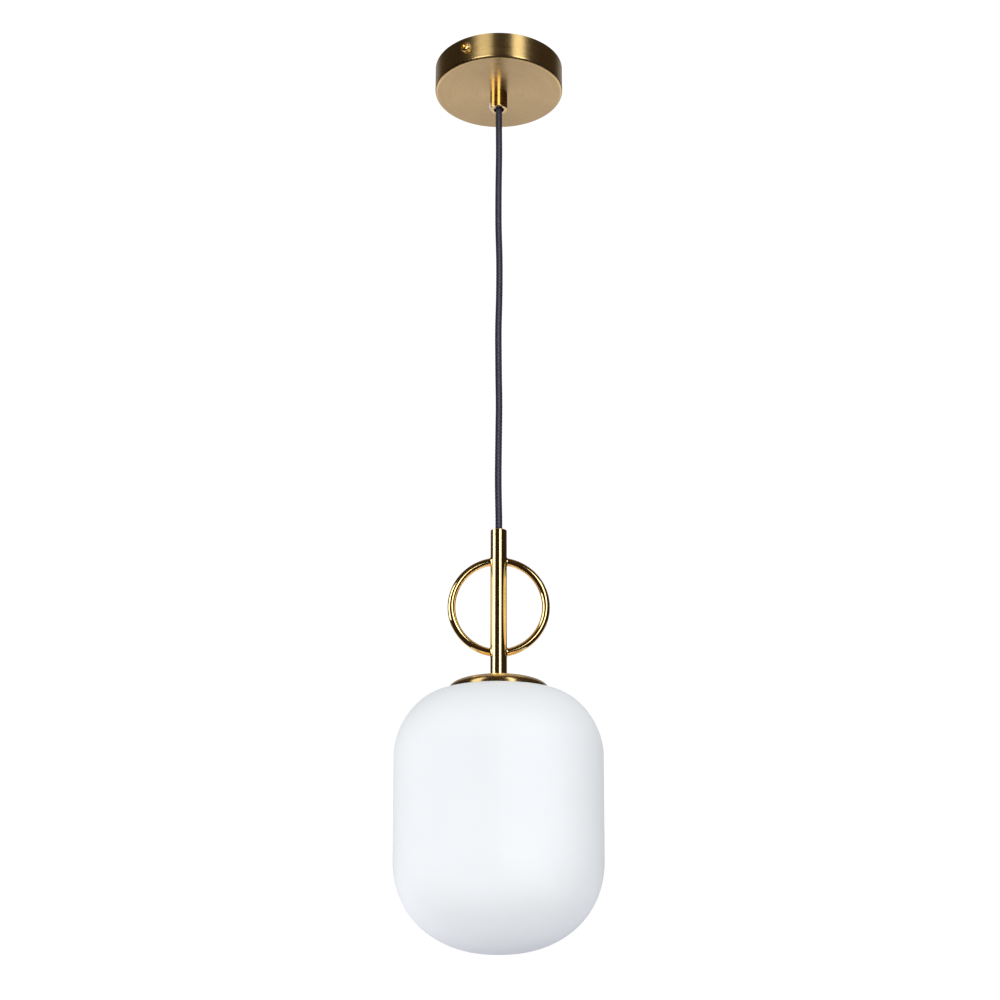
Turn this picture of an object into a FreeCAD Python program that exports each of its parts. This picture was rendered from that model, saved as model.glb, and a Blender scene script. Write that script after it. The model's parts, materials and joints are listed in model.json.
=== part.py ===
import FreeCAD, Part
import math
import os

# Pendant ceiling light: a round brass ceiling cup with a cord grip, a textile
# cord, a brass stem with a ring brazed to its sides, a domed cap, and a closed
# opal glass shade.  Millimetres, +Z up.  The origin is the centre of the
# ceiling bracket's upper face, on the ceiling plane; the lamp hangs down -Z.

V = FreeCAD.Vector
Z = V(0, 0, 1)

# ---------------------------------------------------------------- dimensions
# ceiling cup
CUP_R = 60.0            # outer radius
CUP_H = 26.0            # height below the ceiling
CUP_T = 1.0             # sheet
CUP_EDGE = 2.6          # outer edge radius at the lower face
CUP_HOLE_R = 5.2        # centre hole for the M10 spigot
SIDE_HOLE_R = 2.3       # side screw clearance
SIDE_Z = -10.5          # side screw axis
SIDE_AZ = 240.0         # side screw line, degrees from +X (front screw)

# ceiling bracket
BR_T = 1.5
BR_W = 24.0             # strap width
BR_END_W = 14.0         # width at the ends and of the tabs
BR_MID = 44.0           # half length of the wide part
BR_R = 57.4             # outer face of the tabs
BR_TAB = 17.0           # depth of the tabs below the ceiling
FIX_PCD = 70.0          # two ceiling screws
FIX_R = 2.6
M4_R = 2.0
TAP_R = 2.08            # drawn radius of a tapped M4 hole

# cord grip
GRIP_R = 7.9
GRIP_L = 17.5           # below the cup
GRIP_MOUTH_R = 4.85
SPIGOT_R = 5.0
SPIGOT_TOP = -17.0
LOCK_Z = -38.9          # locking screw axis
LOCK_R = 3.0
LOCK_PROUD = 1.1         # its head stands this far out of the grip

# cord
CORD_R = 3.0
CORD_TOP_END = -15.0    # sheath end inside the cup
SWING_SIDE_Z = -46.0    # side-to-side bending point, just under the grip
SWING_FORE_Z = -70.0    # fore-and-aft bending point
TWIST_Z = -94.0
BALL_GAP = 0.2

# stem and ring
STEM_R = 7.0
STEM_BORE = 6.0
STEM_TOP = -459.4
RING_Z = -527.0
RING_R = 40.0           # centre line of the bar
BAR_R = 3.3
BRAZE_R = 1.3

# domed cap
DOME_R = 41.6
DOME_H = 10.4
DOME_N = 2.3            # superellipse exponent of the section
DOME_TOP = -588.3
DOME_T = 0.8
DOME_SKIRT = -600.85

# glass shade
GL_T = 3.0
GL_LAND = -601.25       # upper face under the cap
GL_LAND_R = 46.6
GL_SH_N = 1.74          # shoulder superellipse
GL_R1 = 86.16           # radius at the end of the shoulder
GL_Z1 = -652.2
GL_R2 = 85.27           # radius where the bottom curve begins
GL_Z2 = -736.4
GL_BOT_N = 2.2
GL_BOT = -810.85
NECK_R = 33.4
NECK_BORE = 31.0
NECK_TOP = -596.6
NECK_RIB = 34.15

# gallery
GAL_R = 36.4
GAL_IN = 34.6
GAL_TOP = -595.0
GAL_BOT = -599.9

# lampholder, E27
LH_R = 19.5
LH_T = 1.6
LH_TOP = -599.8
LH_SPLIT = -622.0
LH_BOT = -655.0

os.makedirs("parts", exist_ok=True)


# ------------------------------------------------------------------- helpers
def cyl(r, z0, z1, x=0.0, y=0.0):
    """Upright cylinder from z0 up to z1."""
    lo, hi = min(z0, z1), max(z0, z1)
    return Part.makeCylinder(r, hi - lo, V(x, y, lo), Z)


def tube(r_out, r_in, z0, z1, x=0.0, y=0.0):
    return cyl(r_out, z0, z1, x, y).cut(cyl(r_in, min(z0, z1) - 1, max(z0, z1) + 1, x, y))


def rod(r, a, b):
    """Round rod between two points."""
    a, b = V(*a), V(*b)
    d = b.sub(a)
    return Part.makeCylinder(r, d.Length, a, d)


def revolve(edges):
    """Solid of revolution about Z of a closed chain of edges in the XZ plane."""
    wire = Part.Wire(Part.__sortEdges__(edges))
    solid = Part.Face(wire).revolve(V(0, 0, 0), Z, 360)
    solid = Part.Solid(solid.Shells[0]) if solid.ShapeType != "Solid" else solid
    if solid.Volume < 0:
        solid.reverse()
    return solid


def line(a, b):
    return Part.LineSegment(V(a[0], 0, a[1]), V(b[0], 0, b[1])).toShape()


def poly(pts):
    """Closed chain of straight edges through (r, z) points."""
    return [line(pts[i], pts[(i + 1) % len(pts)]) for i in range(len(pts))]


def arc(a, m, b):
    return Part.Arc(V(a[0], 0, a[1]), V(m[0], 0, m[1]), V(b[0], 0, b[1])).toShape()


def corner(c, r, a0, a1):
    """Arc of radius r about c from angle a0 to a1, in degrees."""
    def p(a):
        a = math.radians(a)
        return (c[0] + r * math.cos(a), c[1] + r * math.sin(a))
    return arc(p(a0), p((a0 + a1) / 2), p(a1)), p(a0), p(a1)


def spline(pts, t0, t1):
    h0, h1 = math.hypot(*t0), math.hypot(*t1)
    t0, t1 = (t0[0] / h0, t0[1] / h0), (t1[0] / h1, t1[1] / h1)
    bs = Part.BSplineCurve()
    bs.interpolate(Points=[V(x, 0, z) for x, z in pts],
                   InitialTangent=V(t0[0], 0, t0[1]), FinalTangent=V(t1[0], 0, t1[1]),
                   Scale=True)
    return bs.toShape()


def quarter(x0, x1, z0, z1, n, count, offset=0.0):
    """Superellipse quarter, flat at (x0, z0) and upright at (x1, z1), moved
    along its inward normal by offset."""
    a, b = abs(x1 - x0), abs(z1 - z0)
    sx, sz = (1 if x1 > x0 else -1), (1 if z0 > z1 else -1)
    out = []
    for i in range(count + 1):
        # points crowd towards both ends, where the curve turns most
        k = i / count
        t = math.pi / 2 * k
        s, c = max(math.sin(t), 0.0), max(math.cos(t), 0.0)
        u, w = s ** (2 / n), c ** (2 / n)
        # gradient of |x/a|^n + |z/b|^n
        gx = (u ** (n - 1)) / a
        gz = (w ** (n - 1)) / b
        g = math.hypot(gx, gz)
        out.append((x0 + sx * (a * u - offset * gx / g), z1 + sz * (b * w - offset * gz / g)))
    return out


def hexagon(af, z0, z1, hole_r, x=0.0, y=0.0):
    r = af / math.sqrt(3)
    pts = [V(x + r * math.cos(math.radians(60 * i)), y + r * math.sin(math.radians(60 * i)), min(z0, z1)) for i in range(7)]
    body = Part.Face(Part.makePolygon(pts)).extrude(V(0, 0, abs(z1 - z0)))
    # the chamfered corners of a nut
    dome = cyl(af / 2 + 0.55, z0, z1, x, y)
    return body.common(dome).cut(cyl(hole_r, min(z0, z1) - 1, max(z0, z1) + 1, x, y))


def turn(shape, deg, base=V(0, 0, 0), axis=Z):
    s = shape.copy()
    s.rotate(base, axis, deg)
    return s


def path_tube(pts, r):
    """Round tube along straight runs joined by tangent arcs.  Returns the
    solid, its centre-line length and the arc radii."""
    P = [V(*p) for p in pts]
    edges, radii = [], []
    start = P[0]
    for i in range(1, len(P) - 1):
        d0, d1 = P[i] - P[i - 1], P[i + 1] - P[i]
        run = min(d0.Length, d1.Length)
        d0.normalize()
        d1.normalize()
        half = d0.getAngle(d1) / 2
        rad = 0.45 * run / math.tan(half)
        radii.append(rad)
        t = 0.45 * run
        a, b = P[i] - d0 * t, P[i] + d1 * t
        n = d1 - d0
        n.normalize()
        mid = P[i] + n * (rad / math.cos(half) - rad)
        edges.append(Part.LineSegment(start, a).toShape())
        edges.append(Part.Arc(a, mid, b).toShape())
        start = b
    edges.append(Part.LineSegment(start, P[-1]).toShape())
    wire = Part.Wire(edges)
    d = P[1] - P[0]
    prof = Part.Wire([Part.Circle(P[0], d, r).toShape()])
    solid = wire.makePipeShell([prof], True, True)
    return solid, wire.Length, radii


def save(name, shape):
    if shape.ShapeType == "Compound" and len(shape.Solids) == 1:
        shape = shape.Solids[0]
    bad = [i for i, s in enumerate(shape.Solids) if not s.isValid() or s.Volume <= 0]
    print("%-26s solids %d  volume %.1f mm3%s" % (name, len(shape.Solids), shape.Volume, "  INVALID" if bad or not shape.Solids else ""))
    shape.exportStep("parts/%s.step" % name)


# side screw line: unit vectors along it (to the front screw) and across it
UX, UY = math.cos(math.radians(SIDE_AZ)), math.sin(math.radians(SIDE_AZ))


def along(shape):
    """Turn a shape drawn along +X so that it lies along the bracket."""
    return turn(shape, SIDE_AZ)


def uv(u, v, z):
    return (u * UX - v * UY, u * UY + v * UX, z)


# ============================================================== ceiling side
# Strap bracket: stamped steel, wide in the middle, with a tapped tab bent
# down at each end for the side screws.
strap = Part.makeBox(2 * BR_MID, BR_W, BR_T, V(-BR_MID, -BR_W / 2, -BR_T))
strap = strap.makeFillet(4.0, [e for e in strap.Edges if abs(e.BoundBox.ZLength - BR_T) < 1e-6])
ends = Part.makeBox(2 * BR_R, BR_END_W, BR_T, V(-BR_R, -BR_END_W / 2, -BR_T))
bracket = strap.fuse(ends)
for s in (1, -1):
    x0 = BR_R - BR_T if s > 0 else -BR_R
    tab = Part.makeBox(BR_T, BR_END_W, BR_TAB, V(x0, -BR_END_W / 2, -BR_TAB))
    corners_ = [e for e in tab.Edges if abs(e.BoundBox.XLength - BR_T) < 1e-6 and e.BoundBox.ZMax < -BR_TAB + 0.1]
    tab = tab.makeFillet(3.0, corners_)
    boss = rod(3.6, (s * (BR_R - BR_T - 2.4), 0, SIDE_Z), (s * (BR_R - 0.2), 0, SIDE_Z))
    bracket = bracket.fuse(tab).fuse(boss)
bracket = bracket.removeSplitter()
# rounded outer bends
bend = [e for e in bracket.Edges if abs(e.BoundBox.ZMax) < 1e-6 and abs(e.BoundBox.ZMin) < 1e-6
        and abs(abs(e.BoundBox.Center.x) - BR_R) < 1e-4 and e.BoundBox.YLength > 10]
bracket = bracket.makeFillet(1.3, bend)
for s in (1, -1):
    bracket = bracket.cut(rod(TAP_R, (s * (BR_R - 8), 0, SIDE_Z), (s * (BR_R + 2), 0, SIDE_Z)))
    bracket = bracket.cut(cyl(FIX_R, -5, 5, s * FIX_PCD / 2, 0))
EARTH_U = -20.0
BLOCK_U = 24.0
bracket = bracket.cut(cyl(TAP_R, -5, 5, EARTH_U, 0))
bracket = bracket.cut(cyl(1.56, -5, 5, BLOCK_U, 5.0))
save("ceiling_bracket", along(bracket))

# Ceiling cup: drawn brass, centre hole in its lower face, two side holes.
ri, zi = CUP_R - CUP_T, -CUP_H + CUP_T
o_arc, o0, o1 = corner((CUP_R - CUP_EDGE, -CUP_H + CUP_EDGE), CUP_EDGE, 270, 360)
i_arc, i0, i1 = corner((CUP_R - CUP_EDGE, -CUP_H + CUP_EDGE), CUP_EDGE - CUP_T, 270, 360)
cup = revolve([line((CUP_HOLE_R, -CUP_H), o0), o_arc, line(o1, (CUP_R, 0)),
               line((CUP_R, 0), (ri, 0)), line((ri, 0), i1), i_arc,
               line(i0, (CUP_HOLE_R, zi)), line((CUP_HOLE_R, zi), (CUP_HOLE_R, -CUP_H))])
for s in (1, -1):
    cup = cup.cut(along(rod(SIDE_HOLE_R, (s * 50, 0, SIDE_Z), (s * 70, 0, SIDE_Z))))
save("canopy", cup)

# Side screws: M4 with a broad pan head and a cross recess, plain shanks.
HEAD0 = CUP_R + 0.3
HEAD_H = 2.7
HEAD_R = 4.5


def pan_head(r, h, face=0.0):
    """Domed head from face outward along +Z, with a cross recess."""
    edge = 0.9
    top = spline([(0, face + h), (r * 0.55, face + h * 0.90), (r, face + edge)], (1, 0), (0.25, -1))
    head = revolve([top, line((r, face + edge), (r, face)), line((r, face), (0, face)), line((0, face), (0, face + h))])
    for ang in (45, 135):
        wing = Part.makeBox(r * 1.1, r * 0.26, h, V(-r * 0.55, -r * 0.13, face + h - 1.5))
        head = head.cut(turn(wing, ang))
    return head


def side_screw():
    head = pan_head(HEAD_R, HEAD_H)
    shank = cyl(M4_R, -9.0, 0.0)
    tip = Part.makeCone(M4_R - 0.6, M4_R, 0.6, V(0, 0, -9.6), Z)
    s = head.fuse(shank).fuse(tip).removeSplitter()
    s.rotate(V(0, 0, 0), V(0, 1, 0), 90)        # along +X
    s.translate(V(HEAD0, 0, SIDE_Z))
    return s


save("side_screw_front", along(side_screw()))
save("side_screw_rear", turn(side_screw(), SIDE_AZ + 180))

# Earth screw with its washer and ring terminal under the strap.
ez = -BR_T
ex, ey, _ = uv(EARTH_U, 0, 0)
ring_lug = tube(4.2, 2.15, ez - 0.9, ez - 0.1)
tongue = Part.makeBox(9.0, 3.2, 0.8, V(3.2, -1.6, ez - 0.9))
barrel = tube(1.9, 1.25, 0, 5.0)
barrel.rotate(V(0, 0, 0), V(0, 1, 0), 90)
barrel.translate(V(9.2, 0, ez - 1.9))
lug = ring_lug.fuse(tongue).fuse(barrel.cut(Part.makeBox(20, 20, 20, V(0, -10, ez - 0.1)))).removeSplitter()
lug.translate(V(EARTH_U, 0, 0))
save("earth_ring_terminal", along(lug))
es = pan_head(3.8, 2.4)
es.rotate(V(0, 0, 0), V(1, 0, 0), 180)
es.translate(V(0, 0, ez - 1.0))
es = es.fuse(cyl(M4_R, ez - 1.0, -0.2)).removeSplitter()
es.translate(V(EARTH_U, 0, 0))
save("earth_screw", along(es))

# Three-pole terminal block under the strap, with brass sleeves and screws.
BW, BL, BH = 15.0, 30.0, 12.5          # along u, along v, height
bz1 = -BR_T - 0.15
bz0 = bz1 - BH
block = Part.makeBox(BW, BL, BH, V(BLOCK_U - BW / 2, -BL / 2, bz0))
block = block.makeFillet(1.2, [e for e in block.Edges if e.BoundBox.ZLength > BH - 0.1])
POLES = (-10.0, 0.0, 10.0)
SLEEVE_Z = bz0 + 5.2
sleeves, tscrews = [], []
for v in POLES:
    x0 = BLOCK_U - BW / 2
    hole = rod(2.3, (x0 - 1, v, SLEEVE_Z), (x0 + BW + 1, v, SLEEVE_Z))
    block = block.cut(hole)
    sleeve = rod(2.25, (x0 + 1.2, v, SLEEVE_Z), (x0 + BW - 1.2, v, SLEEVE_Z)).cut(
        rod(1.45, (x0, v, SLEEVE_Z), (x0 + BW, v, SLEEVE_Z)))
    for du in (-3.6, 3.6):
        # screw well from below
        block = block.cut(cyl(1.75, bz0 - 1, SLEEVE_Z - 1.0, BLOCK_U + du, v))
        sleeve = sleeve.cut(cyl(1.32, bz0 - 1, SLEEVE_Z, BLOCK_U + du, v))
        sc = cyl(1.25, bz0 + 1.2, SLEEVE_Z - 0.6, BLOCK_U + du, v)
        hd = cyl(1.62, bz0 + 0.4, bz0 + 1.9, BLOCK_U + du, v)
        slot = Part.makeBox(4, 0.5, 0.9, V(BLOCK_U + du - 2, v - 0.25, bz0 + 0.3))
        tscrews.append(sc.fuse(hd).cut(slot).removeSplitter())
    sleeves.append(sleeve)
fixhole = cyl(1.6, bz0 - 1, bz1 + 1, BLOCK_U, 5.0).fuse(cyl(3.0, bz0 - 1, bz0 + 2.2, BLOCK_U, 5.0))
block = block.cut(fixhole).removeSplitter()
save("terminal_block_body", along(block))
save("terminal_sleeves", along(Part.makeCompound(sleeves)))
save("terminal_clamp_screws", along(Part.makeCompound(tscrews)))
bs_head = cyl(2.8, bz0 + 0.2, bz0 + 2.1, BLOCK_U, 5.0).cut(Part.makeBox(7, 0.7, 1.0, V(BLOCK_U - 3.5, 5.0 - 0.35, bz0 + 0.1)))
bs_ = bs_head.fuse(cyl(1.5, bz0 + 2.0, -0.2, BLOCK_U, 5.0)).removeSplitter()
save("terminal_block_screw", along(bs_))

# Cord grip: turned brass, M10 spigot up through the cup.
gz0 = -CUP_H - GRIP_L
grip = revolve(poly([(3.5, SPIGOT_TOP), (SPIGOT_R - 0.5, SPIGOT_TOP), (SPIGOT_R, SPIGOT_TOP - 0.5),
                     (SPIGOT_R, -CUP_H), (GRIP_R - 0.35, -CUP_H), (GRIP_R, -CUP_H - 0.35),
                     (GRIP_R, gz0 + 0.7), (GRIP_R - 0.7, gz0), (GRIP_MOUTH_R + 0.5, gz0),
                     (GRIP_MOUTH_R, gz0 + 0.5), (GRIP_MOUTH_R, -31.0), (3.5, -29.4)]))
grip = grip.cut(rod(LOCK_R + 0.08, (-12, 0, LOCK_Z), (-3, 0, LOCK_Z)))
save("cord_grip_body", grip)
save("grip_washer", tube(9.0, 5.3, -CUP_H + CUP_T, -CUP_H + CUP_T + 1.0))
save("grip_hex_nut", hexagon(14.0, -CUP_H + CUP_T + 1.0, -CUP_H + CUP_T + 4.0, 5.04))

# Nylon locking screw, in from the left, slotted end standing proud.
lock = rod(LOCK_R, (-CORD_R - 0.2, 0, LOCK_Z), (-GRIP_R - LOCK_PROUD, 0, LOCK_Z))
lock = lock.makeFillet(0.4, [e for e in lock.Edges if abs(e.BoundBox.XMin + GRIP_R + LOCK_PROUD) < 1e-4 and e.BoundBox.XLength < 1e-4])
lock = lock.cut(Part.makeBox(1.4, 8, 1.0, V(-GRIP_R - LOCK_PROUD - 0.4, -4, LOCK_Z - 0.5)))
save("grip_locking_screw", lock)

# Cord lengths.  One round textile cable; its free length from the grip's mouth
# to the stem is a straight hang, cut at its three bending points.
hang = []


def ball_top(z_ball, z_end):
    """Length of cord with a round upper end about its bending point."""
    ball = Part.makeSphere(CORD_R, V(0, 0, z_ball)).common(
        Part.makeBox(20, 20, 20, V(-10, -10, z_ball)))
    return ball.fuse(cyl(CORD_R, z_ball, z_end)).removeSplitter()


in_grip = cyl(CORD_R, CORD_TOP_END, SWING_SIDE_Z + CORD_R + BALL_GAP)
save("cord_in_grip", in_grip)
cord_top = ball_top(SWING_SIDE_Z, SWING_FORE_Z + CORD_R + BALL_GAP)
save("cord_top", cord_top)
cord_mid = ball_top(SWING_FORE_Z, TWIST_Z)
save("cord_mid", cord_mid)
cord_main = cyl(CORD_R, TWIST_Z - 0.3, STEM_TOP + 0.3)
save("cord_main", cord_main)
for nm, s, L in (("cord_main", cord_main, TWIST_Z - 0.3 - STEM_TOP - 0.3),):
    print("%s: length %.1f, volume / (section x length) %.4f, straight, no arcs" % (nm, L, s.Volume / (math.pi * CORD_R ** 2 * L)))
print("free cord, grip mouth to stem top: %.1f" % (gz0 - STEM_TOP))

# Cores from the sheath's end to the terminal block and the earth screw.
x_in = BLOCK_U - BW / 2
LEAD_R = 1.1
lead_pts = {
    "lead_live": [(1.2, -1.1, CORD_TOP_END), (1.2, -1.1, -8.9), (9.0, -6.4, SLEEVE_Z), (x_in - 0.1, POLES[0], SLEEVE_Z)],
    "lead_neutral": [(1.2, 1.3, CORD_TOP_END), (1.2, 1.3, -8.9), (9.0, 1.7, SLEEVE_Z), (x_in - 0.1, POLES[1], SLEEVE_Z)],
}
for nm, pts in lead_pts.items():
    # stations stay clear of the nut and the strap
    world = [uv(*p) for p in pts]
    s, L, radii = path_tube(world, LEAD_R)
    print("%s: length %.1f, radii %s, volume ratio %.4f" % (nm, L, ["%.1f" % r for r in radii], s.Volume / (math.pi * LEAD_R ** 2 * L)))
    save(nm, s)
e_pts = [(-1.5, 0.0, CORD_TOP_END), (-1.5, 0.0, -9.0), (EARTH_U + 14.9, 0.0, ez - 2.0)]
s, L, radii = path_tube([uv(*p) for p in e_pts], LEAD_R)
print("lead_earth: length %.1f, radii %s, volume ratio %.4f" % (L, ["%.1f" % r for r in radii], s.Volume / (math.pi * LEAD_R ** 2 * L)))
save("lead_earth", s)

# ================================================================ lamp stem
# Stem: drawn brass tube with a softened top edge.
stem = tube(STEM_R, STEM_BORE, -588.2, STEM_TOP)
top_edge = [e for e in stem.Edges if abs(e.BoundBox.ZMin - STEM_TOP) < 1e-4 and abs(e.BoundBox.XLength - 2 * STEM_R) < 1e-3]
stem = stem.makeFillet(0.6, top_edge)
save("stem_tube", stem)

# Bush in the stem's top, flush, with the cord's hole.
bush = tube(STEM_BORE - 0.03, 3.15, STEM_TOP - 11.0, STEM_TOP - 0.05)
save("stem_top_bush", bush)

# Stop collar clamped on the cord under the bush: it carries the lamp.
cz1, cz0 = STEM_TOP - 11.3, STEM_TOP - 20.3
collar = tube(5.7, CORD_R + 0.04, cz0, cz1)
gcz = (cz0 + cz1) / 2
collar = collar.cut(rod(1.54, (0, 0, gcz), (0, -8, gcz)))
save("cord_stop_collar", collar)
grub = rod(1.5, (0, -CORD_R - 0.05, gcz), (0, -5.5, gcz)).cut(Part.makeBox(4, 0.8, 0.5, V(-2, -5.6, gcz - 0.25)))
save("collar_grub_screw", grub)

# Cord inside the stem, down to the lampholder.
CORD_END = -606.0
save("cord_in_stem", cyl(CORD_R, CORD_END, STEM_TOP))

# Ring: two halves of round brass bar brazed to the sides of the stem.
torus = Part.makeTorus(RING_R, BAR_R, V(0, 0, RING_Z), V(0, 1, 0))
core = cyl(STEM_R, RING_Z - 60, RING_Z + 60)
joined = torus.fuse(core).removeSplitter()
seams = []
for e in joined.Edges:
    b = e.BoundBox
    if b.ZLength < 12 and b.XLength < 6 and abs(abs(b.Center.z - RING_Z) - RING_R) < 4 and b.YLength > 1.0 and abs(b.Center.x) > 3:
        seams.append(e)
try:
    brazed = joined.makeFillet(BRAZE_R, seams)
    print("braze fillets on %d edges" % len(seams))
except Exception as err:
    print("braze fillet failed:", err)
    brazed = joined
halves = brazed.cut(cyl(STEM_R + 0.01, RING_Z - 61, RING_Z + 61))
sol = sorted(halves.Solids, key=lambda s: s.CenterOfMass.x)
sol = [s for s in sol if s.Volume > 100]
save("ring_half_left", sol[0])
save("ring_half_right", sol[-1])

# Tapped bush in the stem's foot and the hollow M10 stud through the cap.
save("stem_foot_bush", tube(STEM_BORE - 0.03, 5.05, -574.0, -588.0))
save("threaded_stud", tube(5.0, 3.4, -576.0, -604.5))

# ================================================================= domed cap
DRIM = DOME_TOP - DOME_H


def dome_pts(offset, count=16):
    return quarter(0.0, DOME_R, DOME_TOP, DRIM, DOME_N, count, offset)


def cut_at(pts, r):
    """Keep the points outside radius r, with one added at r."""
    for i in range(len(pts) - 1):
        if pts[i][0] <= r < pts[i + 1][0]:
            k = (r - pts[i][0]) / (pts[i + 1][0] - pts[i][0])
            z = pts[i][1] + k * (pts[i + 1][1] - pts[i][1])
            return [(r, z)] + [p for p in pts[i + 1:] if p[0] > r + 0.5]
    return pts


dome_edges = [spline(dome_pts(0.0), (1, 0), (0, -1)),
              line((DOME_R, DRIM), (DOME_R, DOME_SKIRT)),
              line((DOME_R, DOME_SKIRT), (DOME_R - DOME_T, DOME_SKIRT)),
              line((DOME_R - DOME_T, DOME_SKIRT), (DOME_R - DOME_T, DRIM)),
              spline(list(reversed(dome_pts(DOME_T))), (0, 1), (-1, 0)),
              line((0, DOME_TOP - DOME_T), (0, DOME_TOP))]
dome = revolve(dome_edges).cut(cyl(5.15, DOME_TOP - 10, DOME_TOP + 10))
save("dome_cap", dome)

# Gallery under the cap: the threaded ring that takes the glass neck.
gal = revolve(poly([(5.2, GAL_TOP), (GAL_R - 0.6, GAL_TOP), (GAL_R, GAL_TOP - 0.6), (GAL_R, GAL_BOT),
                    (GAL_IN, GAL_BOT), (GAL_IN, GAL_TOP - 1.0), (5.2, GAL_TOP - 1.0)]))
save("shade_gallery", gal)
# Spacer between the cap and the gallery, and the nut that clamps them.
save("gallery_spacer", tube(8.0, 5.2, GAL_TOP, DOME_TOP - DOME_T - 0.2))
save("gallery_lock_nut", hexagon(14.0, GAL_TOP - 1.0, GAL_TOP - 4.0, 5.04))

# ==================================================================== shade
# Silicone seal on the glass's upper face, inside the cap's skirt.
save("shade_seal_ring", tube(40.4, 34.6, GL_LAND + 0.1, GL_LAND + 1.05))


def shade():
    sh_o = quarter(GL_LAND_R, GL_R1, GL_LAND, GL_Z1, GL_SH_N, 18)
    sh_i = quarter(GL_LAND_R, GL_R1, GL_LAND, GL_Z1, GL_SH_N, 18, GL_T)
    # bottom: flat at the axis, upright at the wall
    bo = quarter(0.0, GL_R2, -GL_BOT, -GL_Z2, GL_BOT_N, 18)
    bi = quarter(0.0, GL_R2, -GL_BOT, -GL_Z2, GL_BOT_N, 18, GL_T)
    bo = [(x, -z) for x, z in bo]
    bi = [(x, -z) for x, z in bi]
    # the wall narrows a little downwards: the curves above and below lean with
    # it, so that they meet it without a crease
    k = (GL_R2 - GL_R1) / (GL_Z2 - GL_Z1)
    slope = (k * (GL_Z2 - GL_Z1), GL_Z2 - GL_Z1)
    up = (-slope[0], -slope[1])
    lean_s = [k * (z - GL_Z1) * (x - GL_LAND_R) / (GL_R1 - GL_LAND_R) for x, z in sh_o]
    sh_o = [(x + d, z) for (x, z), d in zip(sh_o, lean_s)]
    sh_i = [(x + d, z) for (x, z), d in zip(sh_i, lean_s)]
    lean_b = [k * (z - GL_Z2) * x / GL_R2 for x, z in bo]
    bo = [(x + d, z) for (x, z), d in zip(bo, lean_b)]
    bi = [(x + d, z) for (x, z), d in zip(bi, lean_b)]
    rim_o, rim_i = (GL_LAND_R, GL_LAND), (GL_LAND_R, GL_LAND - GL_T)
    # neck with one round-thread ring, and the flat land round it
    neck = revolve([line((NECK_BORE, NECK_TOP), (NECK_R - 0.4, NECK_TOP)),
                    line((NECK_R - 0.4, NECK_TOP), (NECK_R, NECK_TOP - 0.5)),
                    line((NECK_R, NECK_TOP - 0.5), (NECK_R, NECK_TOP - 1.0)),
                    arc((NECK_R, NECK_TOP - 1.0), (NECK_RIB, NECK_TOP - 2.0), (NECK_R, NECK_TOP - 3.0)),
                    line((NECK_R, NECK_TOP - 3.0), (NECK_R, GL_LAND)),
                    line((NECK_R, GL_LAND), rim_o), line(rim_o, rim_i),
                    line(rim_i, (NECK_BORE, GL_LAND - GL_T)),
                    line((NECK_BORE, GL_LAND - GL_T), (NECK_BORE, NECK_TOP))])
    shoulder = revolve([spline(sh_o, (1, 0), slope), line(sh_o[-1], sh_i[-1]),
                        spline(list(reversed(sh_i)), up, (-1, 0)), line(sh_i[0], sh_o[0])])
    wall = revolve([line(sh_o[-1], bo[-1]), line(bo[-1], bi[-1]),
                    line(bi[-1], sh_i[-1]), line(sh_i[-1], sh_o[-1])])
    base = revolve([spline(list(reversed(bo)), slope, (-1, 0)), line(bo[0], bi[0]),
                    spline(bi, (1, 0), up), line(bi[-1], bo[-1])])
    return neck, shoulder, wall, base


# One blown glass, drawn as four zones that meet face to face and move as one.
for zone, solid in zip(("shade_neck", "shade_shoulder", "shade_wall", "shade_base"), shade()):
    save(zone, solid)

# =============================================================== lampholder
# Cap, insert and shell of an E27 lampholder hung on the stud.
top_arc, t0, t1 = corner((LH_R - 6.0, LH_TOP - 6.0), 6.0, 90, 0)
in_arc, n0, n1 = corner((LH_R - 6.0, LH_TOP - 6.0), 6.0 - LH_T, 90, 0)
lh_cap = revolve([line((5.05, LH_TOP), t0), top_arc, line(t1, (LH_R, LH_SPLIT + 0.15)),
                  line((LH_R, LH_SPLIT + 0.15), (LH_R - LH_T, LH_SPLIT + 0.15)),
                  line((LH_R - LH_T, LH_SPLIT + 0.15), n1), in_arc, line(n0, (5.05, LH_TOP - LH_T)),
                  line((5.05, LH_TOP - LH_T), (5.05, LH_TOP))])
save("lampholder_cap", lh_cap)
insert = tube(17.4, 3.3, -608.5, -619.5)
for a in (0, 180):
    x = 10.5 * math.cos(math.radians(a))
    insert = insert.cut(cyl(2.05, -608.0, -614.0, x, 0))
save("lampholder_insert", insert)
tsc = []
for a in (0, 180):
    x = 10.5 * math.cos(math.radians(a))
    t_ = cyl(2.0, -607.6, -613.6, x, 0).cut(Part.makeBox(5, 0.7, 1.0, V(x - 2.5, -0.35, -608.4)))
    tsc.append(t_)
save("holder_terminal_screws", Part.makeCompound(tsc))
# outer shell with gripping ribs round its lower skirt
shell = tube(LH_R, LH_R - LH_T, LH_BOT, LH_SPLIT)
shell = shell.makeFillet(0.6, [e for e in shell.Edges if abs(e.BoundBox.ZMax - LH_BOT) < 1e-4 and e.BoundBox.XLength > 2 * LH_R - 0.1])
for i in range(24):
    a = math.radians(15 * i)
    shell = shell.cut(cyl(0.7, -650.0, -628.0, (LH_R + 0.3) * math.cos(a), (LH_R + 0.3) * math.sin(a)))
save("lampholder_shell", shell)
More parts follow.
